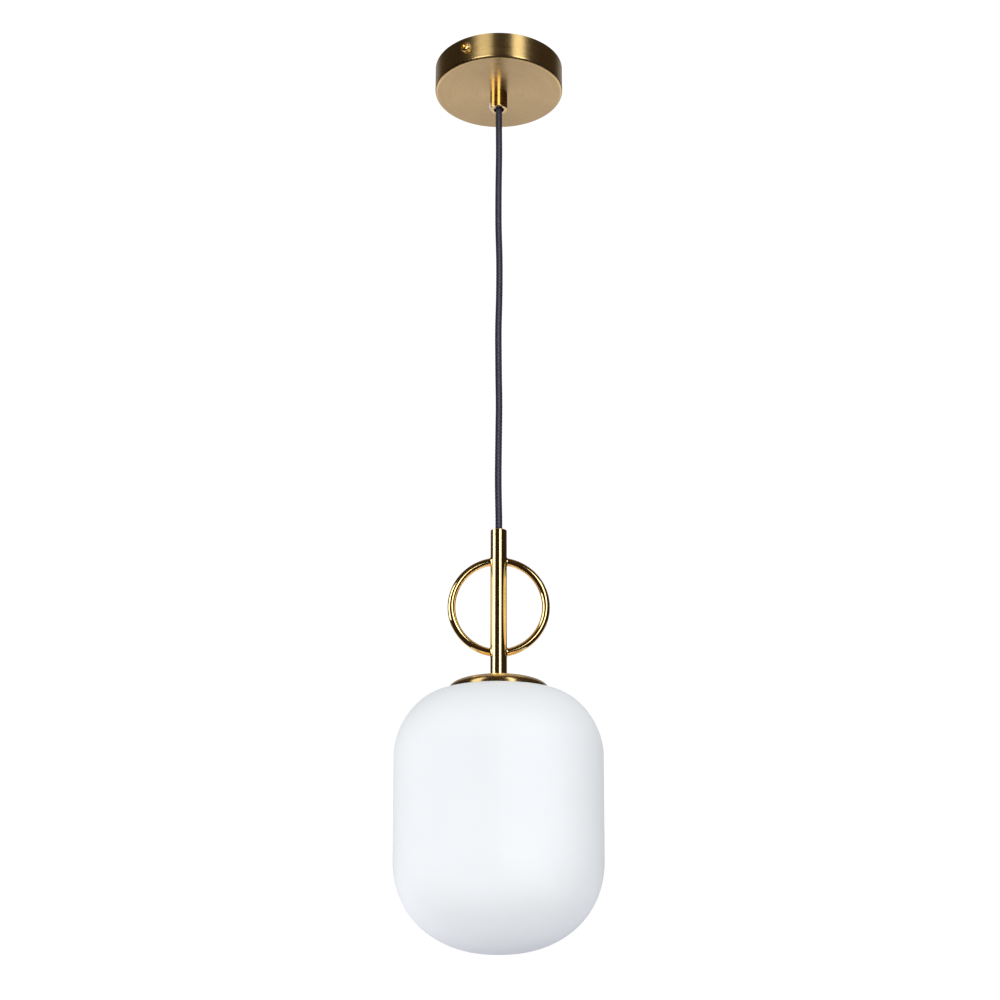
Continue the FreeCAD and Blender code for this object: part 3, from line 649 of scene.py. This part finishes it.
# --------------------------------------------------------------- ceiling side
UX, UY = math.cos(math.radians(SIDE_AZ)), math.sin(math.radians(SIDE_AZ))

cup_line = rounded([(CUP_HOLE_R, -CUP_H, 0.15), (CUP_R, -CUP_H, CUP_EDGE), (CUP_R, 0.0, 0.2), (CUP_R - CUP_T, 0.0, 0.2),
                    (CUP_R - CUP_T, -CUP_H + CUP_T, CUP_EDGE - CUP_T), (CUP_HOLE_R, -CUP_H + CUP_T, 0.15)], steps=10, support=0.5)


def with_rings(outline, r, zs):
    """Add extra points on the upright run at radius r."""
    out = []
    for i, p in enumerate(outline):
        out.append(p)
        q = outline[(i + 1) % len(outline)]
        if abs(p[0] - r) < 1e-4 and abs(q[0] - r) < 1e-4 and abs(p[1] - q[1]) > 10:
            inner = [z for z in zs if min(p[1], q[1]) < z < max(p[1], q[1])]
            out += [(r, z) for z in sorted(inner, reverse=p[1] > q[1])]
    return out


cup_line = with_rings(with_rings(cup_line, CUP_R, (-5.0, -7.5, -13.5, -16.0)), CUP_R - CUP_T, (-5.0, -7.5, -13.5, -16.0))
cup = lathe("ceiling_cup", cup_line, 288)
cut(cup, [rod_along("hole_a", SIDE_HOLE_R, (50 * UX, 50 * UY, SIDE_Z), (70 * UX, 70 * UY, SIDE_Z)),
          rod_along("hole_b", SIDE_HOLE_R, (-50 * UX, -50 * UY, SIDE_Z), (-70 * UX, -70 * UY, SIDE_Z))])
dress(cup, "antique_brass", "ceiling_mount", ["canopy"])

gz0 = -CUP_H - GRIP_L
grip_line = rounded([(3.5, SPIGOT_TOP, 0.1), (SPIGOT_R, SPIGOT_TOP, 0.45), (SPIGOT_R, -CUP_H, 0.0), (GRIP_R, -CUP_H, 0.3),
                     (GRIP_R, gz0, 0.75), (GRIP_MOUTH_R, gz0, 0.5), (GRIP_MOUTH_R, -31.0, 0.4), (3.5, -29.4, 0.3)], steps=8, support=0.4)
spigot = [p for p in grip_line]


def with_thread(outline, r, z_hi, z_lo, pitch, depth):
    """Replace the upright run at radius r between two heights by fine points
    with a groove at each pitch."""
    out = []
    for i, p in enumerate(outline):
        out.append(p)
        q = outline[(i + 1) % len(outline)]
        if abs(p[0] - r) < 1e-4 and abs(q[0] - r) < 1e-4 and abs(p[1] - q[1]) > 2.0:
            hi, lo = min(max(p[1], q[1]), z_hi), max(min(p[1], q[1]), z_lo)
            zs, z = [], hi - 0.3
            while z - pitch > lo + 0.2:
                zs += [(r, z), (r - depth, z - pitch * 0.45), (r - depth, z - pitch * 0.55), (r, z - pitch * 0.95)]
                z -= pitch
            if p[1] < q[1]:
                zs = list(reversed(zs))
            out += zs
    return out


grip_line = with_thread(grip_line, SPIGOT_R, SPIGOT_TOP - 0.5, -21.6, 1.0, 0.42)
grip = lathe("cord_grip", grip_line, 128)
cut(grip, [rod_along("lock_hole", LOCK_R + 0.08, (-12, 0, LOCK_Z), (-3, 0, LOCK_Z))])
dress(grip, "polished_brass", "ceiling_mount", ["cord_grip_body"])

# -------------------------------------------------------------- stem and ring
stem = lathe("stem", rounded([(STEM_BORE, STEM_TOP, 0.15), (STEM_R, STEM_TOP, 0.6), (STEM_R, -588.2, 0.2), (STEM_BORE, -588.2, 0.15)],
                             steps=8, support=0.4), 128)
dress(stem, "polished_brass", "lamp", ["stem_tube"])
bush = lathe("stem_bush", rounded([(3.15, STEM_TOP - 0.05, 0.35), (STEM_BORE - 0.03, STEM_TOP - 0.05, 0.15), (STEM_BORE - 0.03, STEM_TOP - 11.0, 0.2),
                                   (3.15, STEM_TOP - 11.0, 0.2)], steps=6, support=0.2), 96)
dress(bush, "polished_brass", "lamp", ["stem_top_bush"])


def ring_half(name, side):
    """Half of the ring: round bar bent to a half circle, with a small braze
    fillet where each end meets the stem."""
    around, steps = 56, 120
    near = [-0.35, 0.0, 0.04, 0.12, 0.24, 0.40, 0.60, 0.85, BRAZE_R, 1.8, 2.6]
    rows = []

    def point(alpha, phi, r):
        reach = RING_R + r * math.cos(alpha)
        return Vector((side * reach * math.sin(phi), r * math.sin(alpha), RING_Z + reach * math.cos(phi)))

    def phi_for(alpha, r, d):
        y = r * math.sin(alpha)
        x = math.sqrt(max(STEM_R ** 2 - y * y, 0.0)) + d
        return math.asin(min(1.0, x / (RING_R + r * math.cos(alpha))))

    def flare(d):
        d = max(d, 0.0)
        return BAR_R + (BRAZE_R - math.sqrt(BRAZE_R ** 2 - (BRAZE_R - d) ** 2) if d < BRAZE_R else 0.0)

    alphas = [2 * math.pi * k / around for k in range(around)]
    start = [[point(a, phi_for(a, flare(d), d), flare(d)) for a in alphas] for d in near]
    ends = [phi_for(a, BAR_R, near[-1]) for a in alphas]
    middle = [[point(a, e + (math.pi - 2 * e) * t / steps, BAR_R) for a, e in zip(alphas, ends)] for t in range(1, steps)]
    last = [[Vector((p.x, p.y, 2 * RING_Z - p.z)) for p in row] for row in reversed(start)]
    rows = start + middle + last
    verts = [p * MM for row in rows for p in row]
    faces = []
    for i in range(len(rows) - 1):
        for k in range(around):
            k2 = (k + 1) % around
            faces.append((i * around + k, (i + 1) * around + k, (i + 1) * around + k2, i * around + k2))
    faces.append(tuple(range(around)))
    faces.append(tuple(reversed(range((len(rows) - 1) * around, len(rows) * around))))
    ob = mesh_object(name, verts, faces, 60.0)
    face_outward(ob)
    return ob


dress(ring_half("ring_left", -1), "polished_brass", "lamp", ["ring_half_left"])
dress(ring_half("ring_right", 1), "polished_brass", "lamp", ["ring_half_right"])

# ----------------------------------------------------------------- domed cap
DRIM = DOME_TOP - DOME_H
dome_out = [p for p in quarter(0.0, DOME_R, DOME_TOP, DRIM, DOME_N, 90) if p[0] > 5.4]
dome_in = [p for p in quarter(0.0, DOME_R, DOME_TOP, DRIM, DOME_N, 90, DOME_T) if p[0] > 5.4]
dome_line = ([(5.15, DOME_TOP - 0.12), (5.25, DOME_TOP - 0.02)] + thin_out(dome_out, 0.12)
             + [(DOME_R, DOME_SKIRT + 0.5), (DOME_R, DOME_SKIRT + 0.22), (DOME_R - 0.06, DOME_SKIRT + 0.06), (DOME_R - 0.22, DOME_SKIRT),
                (DOME_R - DOME_T + 0.12, DOME_SKIRT), (DOME_R - DOME_T, DOME_SKIRT + 0.12)]
             + list(reversed(thin_out(dome_in, 0.12))) + [(5.15, DOME_TOP - DOME_T)])
dome = lathe("domed_cap", dome_line, 256)
dress(dome, "polished_brass", "lamp", ["dome_cap"])
dome.data.materials[0] = MATS["spun_brass"]

# --------------------------------------------------------------------- shade
lean = (GL_R2 - GL_R1) / (GL_Z2 - GL_Z1)


def shade_line():
    sh_o = quarter(GL_LAND_R, GL_R1, GL_LAND, GL_Z1, GL_SH_N, 60)
    sh_i = quarter(GL_LAND_R, GL_R1, GL_LAND, GL_Z1, GL_SH_N, 60, GL_T)
    bo = [(x, -z) for x, z in quarter(0.0, GL_R2, -GL_BOT, -GL_Z2, GL_BOT_N, 60)]
    bi = [(x, -z) for x, z in quarter(0.0, GL_R2, -GL_BOT, -GL_Z2, GL_BOT_N, 60, GL_T)]
    sh_i = [(x + lean * (z - GL_Z1) * (xo - GL_LAND_R) / (GL_R1 - GL_LAND_R), z) for (x, z), (xo, zo) in zip(sh_i, sh_o)]
    sh_o = [(x + lean * (z - GL_Z1) * (x - GL_LAND_R) / (GL_R1 - GL_LAND_R), z) for x, z in sh_o]
    bi = [(x + lean * (z - GL_Z2) * xo / GL_R2, z) for (x, z), (xo, zo) in zip(bi, bo)]
    bo = [(x + lean * (z - GL_Z2) * x / GL_R2, z) for x, z in bo]
    wall = [(GL_R1 + (GL_R2 - GL_R1) * k / 12, GL_Z1 + (GL_Z2 - GL_Z1) * k / 12) for k in range(1, 12)]
    out = [(NECK_BORE + 0.3, NECK_TOP)]
    # rounded lip and one round thread
    out += [(NECK_R - 0.5, NECK_TOP), (NECK_R - 0.15, NECK_TOP - 0.15), (NECK_R, NECK_TOP - 0.5), (NECK_R, NECK_TOP - 1.0)]
    out += [(NECK_R + (NECK_RIB - NECK_R) * math.sin(math.pi * k / 10), NECK_TOP - 1.0 - 2.0 * k / 10) for k in range(1, 10)]
    out += [(NECK_R, NECK_TOP - 3.0), (NECK_R, GL_LAND + 0.6), (NECK_R + 0.2, GL_LAND + 0.18), (NECK_R + 0.6, GL_LAND), (38.0, GL_LAND), (43.0, GL_LAND)]
    out += thin_out(sh_o, 0.35) + wall + thin_out(list(reversed(bo)), 0.35)
    out += thin_out(bi, 0.35) + list(reversed([(x - GL_T, z) for x, z in wall])) + thin_out(list(reversed(sh_i)), 0.35)
    out += [(NECK_BORE + 0.8, GL_LAND - GL_T), (NECK_BORE + 0.2, GL_LAND - GL_T + 0.2), (NECK_BORE, GL_LAND - GL_T + 0.8), (NECK_BORE, NECK_TOP - 0.3)]
    return out


glass = lathe("glass_shade", shade_line(), 256, sharp=60.0)
dress(glass, "opal_glass", "shade", ["shade_neck", "shade_shoulder", "shade_wall", "shade_base"])

# ------------------------------------------------------------ light and world
LOOK.view_settings.view_transform = "Standard"
LOOK.view_settings.look = "None"
LOOK.view_settings.exposure = 0.0
LOOK.view_settings.gamma = 1.0

world = bpy.data.worlds.new("studio")
LOOK.world = world
world.use_nodes = True
wn = world.node_tree
wn.nodes.clear()
w_out = wn.nodes.new("ShaderNodeOutputWorld")
path_node = wn.nodes.new("ShaderNodeLightPath")


def sky(color, strength):
    bg = wn.nodes.new("ShaderNodeBackground")
    bg.inputs["Color"].default_value = (*color, 1.0)
    bg.inputs["Strength"].default_value = strength
    return bg


def blend_sky(fac, a, b):
    mx = wn.nodes.new("ShaderNodeMixShader")
    wn.links.new(fac, mx.inputs[0])
    wn.links.new(a.outputs[0], mx.inputs[1])
    wn.links.new(b.outputs[0], mx.inputs[2])
    return mx


direction = wn.nodes.new("ShaderNodeTexCoord")
split = wn.nodes.new("ShaderNodeSeparateXYZ")
wn.links.new(direction.outputs["Generated"], split.inputs[0])


def fade(value, lo, hi):
    n = wn.nodes.new("ShaderNodeMapRange")
    n.interpolation_type = "SMOOTHSTEP"
    n.inputs["From Min"].default_value = lo
    n.inputs["From Max"].default_value = hi
    wn.links.new(value, n.inputs["Value"])
    return n.outputs["Result"]


def ratio(a, b):
    n = wn.nodes.new("ShaderNodeMath")
    n.operation = "DIVIDE"
    wn.links.new(a, n.inputs[0])
    wn.links.new(b, n.inputs[1])
    return n.outputs[0]


def flat_length():
    n = wn.nodes.new("ShaderNodeVectorMath")
    n.operation = "MULTIPLY"
    n.inputs[1].default_value = (1.0, 1.0, 0.0)
    wn.links.new(direction.outputs["Generated"], n.inputs[0])
    m = wn.nodes.new("ShaderNodeVectorMath")
    m.operation = "LENGTH"
    wn.links.new(n.outputs[0], m.inputs[0])
    return m.outputs["Value"]


# Soft light from all round; in the bright metal the room shows dark and warm,
# with a grey wall and a pale sweep behind the lamp.  What one piece of metal
# shows of another is lit by a second, simpler room.
# The dimmer light from straight below stands in for the floor's.
height = split.outputs[2]
behind = ratio(split.outputs[1], flat_length())
side = ratio(split.outputs[0], flat_length())
ambient = blend_sky(fade(height, -0.75, -0.05), sky((0.965, 0.975, 1.0), 0.37), sky((0.965, 0.985, 1.0), 0.575))
room = blend_sky(fade(height, 0.30, 0.60), sky((1.0, 0.72, 0.58), 0.028), sky((1.0, 0.66, 0.30), 0.050))
sweep = blend_sky(fade(behind, 0.90, 0.995), sky((0.82, 0.79, 0.94), 1.52), sky((0.80, 0.79, 1.0), 0.86))
low_room = blend_sky(fade(behind, 0.30, 0.75), room, sweep)
high_wall = blend_sky(fade(behind, 0.60, 0.90), room, sky((1.0, 0.98, 1.0), 0.36))
first = blend_sky(fade(height, -0.16, 0.06), low_room, high_wall)
band_left = fade(side, -0.90, -0.97)
band_front = fade(behind, -0.955, -0.985)
low_second = blend_sky(band_front, blend_sky(band_left, sky((1.0, 0.72, 0.58), 0.05), sky((1.0, 1.0, 1.0), 3.1)), sky((1.0, 1.0, 1.0), 4.0))
second = blend_sky(fade(height, -0.10, 0.04), low_second, sky((1.0, 0.98, 0.94), 1.1))
mirror = blend_sky(fade(path_node.outputs["Glossy Depth"], 1.4, 1.6), first, second)
seen = sky((1.0, 1.0, 1.0), 1.05)
lit = blend_sky(path_node.outputs["Is Glossy Ray"], ambient, mirror)
wn.links.new(blend_sky(path_node.outputs["Is Camera Ray"], lit, seen).outputs[0], w_out.inputs[0])


def softbox(name, az, dist, z, width, height_m, radiance, aim_z=-0.45, color=(1.0, 1.0, 1.0)):
    """Rectangular softbox for the diffuse surfaces.  az is 0 on the camera's
    side and grows towards the right; radiance is its brightness."""
    d = bpy.data.lights.new(name, "AREA")
    d.shape = "RECTANGLE"
    d.size, d.size_y = width, height_m
    d.energy = radiance * math.pi * width * height_m
    d.color = color
    ob = bpy.data.objects.new(name, d)
    COLL.objects.link(ob)
    a = math.radians(az)
    ob.location = (math.sin(a) * dist, -math.cos(a) * dist, z)
    aim = Vector((0, 0, aim_z)) - ob.location
    ob.rotation_euler = aim.to_track_quat("-Z", "Y").to_euler()
    ob.visible_glossy = False
    ob.visible_camera = False
    return ob


def only_for(light, name, pieces):
    """The light reaches only these pieces."""
    group = bpy.data.collections.new(name)
    for piece in pieces:
        group.objects.link(piece)
    light.light_linking.receiver_collection = group


def light_sheet(name, rows_at, radiance, dist=2.4, color=(1.0, 1.0, 1.0)):
    """Softbox as the bright metal shows it.  rows_at lists (z, from, to): the
    angles it spans at that height, 0 on the camera's side, growing rightward."""
    cols, per = 8, 6
    rings = []
    for (z0, a0, b0), (z1, a1, b1) in zip(rows_at[:-1], rows_at[1:]):
        for j in range(per):
            t = j / per
            rings.append((z0 + (z1 - z0) * t, a0 + (a1 - a0) * t, b0 + (b1 - b0) * t))
    rings.append(rows_at[-1])
    verts, faces = [], []
    for z, a0, b0 in rings:
        for i in range(cols + 1):
            a = math.radians(a0 + (b0 - a0) * i / cols)
            verts.append((math.sin(a) * dist, -math.cos(a) * dist, z))
    for j in range(len(rings) - 1):
        for i in range(cols):
            k = j * (cols + 1) + i
            faces.append((k, k + 1, k + cols + 2, k + cols + 1))
    ob = mesh_object(name, verts, faces)
    m = bpy.data.materials.new(name)
    m.use_nodes = True
    nt = m.node_tree
    nt.nodes.clear()
    out = nt.nodes.new("ShaderNodeOutputMaterial")
    em = nt.nodes.new("ShaderNodeEmission")
    em.inputs["Color"].default_value = (*color, 1.0)
    em.inputs["Strength"].default_value = radiance
    nt.links.new(em.outputs[0], out.inputs["Surface"])
    ob.data.materials.append(m)
    ob.visible_camera = False
    ob.visible_diffuse = False
    return ob


def panel(name, az0, az1, z0, z1, radiance, pieces, dist=2.2, color=(1.0, 1.0, 1.0)):
    """Upright softbox between two angles and two heights, for these pieces."""
    mid, half = (az0 + az1) / 2, math.radians(az1 - az0) / 2
    ob = softbox(name, mid, dist, (z0 + z1) / 2, 2 * dist * math.tan(half), z1 - z0, radiance, (z0 + z1) / 2, color)
    ob.visible_glossy = True
    ob.visible_diffuse = False
    only_for(ob, "for_" + name, pieces)
    return ob


softbox("softbox_left", -92, 2.4, -0.35, 0.9, 2.4, 3.9)
softbox("softbox_left_high", -22, 2.5, 1.55, 1.5, 0.9, 3.1)
softbox("softbox_right", 47, 2.4, 0.1, 0.95, 3.4, 2.75)
softbox("softbox_low", -26, 1.8, -2.25, 1.6, 1.0, 5.5, -0.75)
softbox("softbox_back", 172, 2.6, 0.2, 1.6, 2.4, 1.5)
at_cup = [cup] + [NODES[n] for n in ("side_screw_front", "side_screw_rear")]
below = [bpy.data.objects[n] for n in ("cord_grip", "stem", "stem_bush", "ring_left",
                                       "ring_right")] + [NODES["grip_locking_screw"]]
panel("panel_left_high", -39, -12.5, 0.7, 3.2, 0.85, at_cup)
panel("panel_left_mid", -42, -14, -0.25, 0.7, 3.9, at_cup)
panel("panel_right_high", 24.5, 45, 0.7, 3.2, 1.55, at_cup)
panel("panel_right_mid", 24.5, 45, -0.25, 0.7, 4.9, at_cup)
panel("panel_cord", -16, 22, -1.2, 2.6, 4.6, [cord_a, cord_b, cord_c], color=(0.95, 0.93, 1.0))
panel("panel_dome_left", -64, -40, -0.4, 3.0, 1.8, [dome])
panel("panel_dome_right", 24, 38, -0.4, 3.0, 2.5, [dome])
only_for(light_sheet("sheet_left", [(1.2, -75, -42), (0.1, -86, -54), (-0.6, -93, -62)], 3.8), "for_sheet_left", below)
only_for(light_sheet("sheet_right", [(1.2, 17, 45), (0.1, 9, 33), (-0.6, 4, 27)], 3.8), "for_sheet_right", below)
# The two halves of the ring throw a warm glow on the flanks of the stem.
for glow_name, sx, strength in (("ring_glow_left", -1, 0.85), ("ring_glow_right", 1, 0.66)):
    glow = bpy.data.lights.new(glow_name, "AREA")
    glow.shape = "ELLIPSE"
    glow.size, glow.size_y = 0.074, 0.030
    glow.color = (1.0, 0.94, 0.58)
    glow.energy = strength * math.pi * math.pi * 0.037 * 0.015
    glow_ob = bpy.data.objects.new(glow_name, glow)
    COLL.objects.link(glow_ob)
    glow_ob.location = (sx * 0.022, 0.0, (RING_Z + 5.0) * MM)
    glow_ob.rotation_euler = (0.0, math.radians(90.0 * sx), 0.0)
    glow_ob.visible_camera = False
    glow_ob.visible_diffuse = False
    only_for(glow_ob, "for_" + glow_name, [bpy.data.objects["stem"]])

floor = mesh_object("studio_floor", [(-7, -7, -2.3), (7, -7, -2.3), (7, 7, -2.3), (-7, 7, -2.3)], [(0, 1, 2, 3)])
fm, fnt, fb = new_material("studio_floor")
put(fb, color=(0.82, 0.82, 0.82), rough=0.9, spec=0.1)
fb.inputs["Emission Color"].default_value = (1.0, 1.0, 1.0, 1.0)
fb.inputs["Emission Strength"].default_value = 0.28
speck = noise(fnt, stretched(fnt, 1, 1, 1), 40.0, 3.0, 0.5)
fnt.links.new(ramp(fnt, speck, [(0.3, (0.81, 0.81, 0.81)), (0.7, (0.83, 0.83, 0.83))]), fb.inputs["Base Color"])
floor.data.materials.append(fm)
floor.visible_glossy = False
floor.visible_diffuse = False
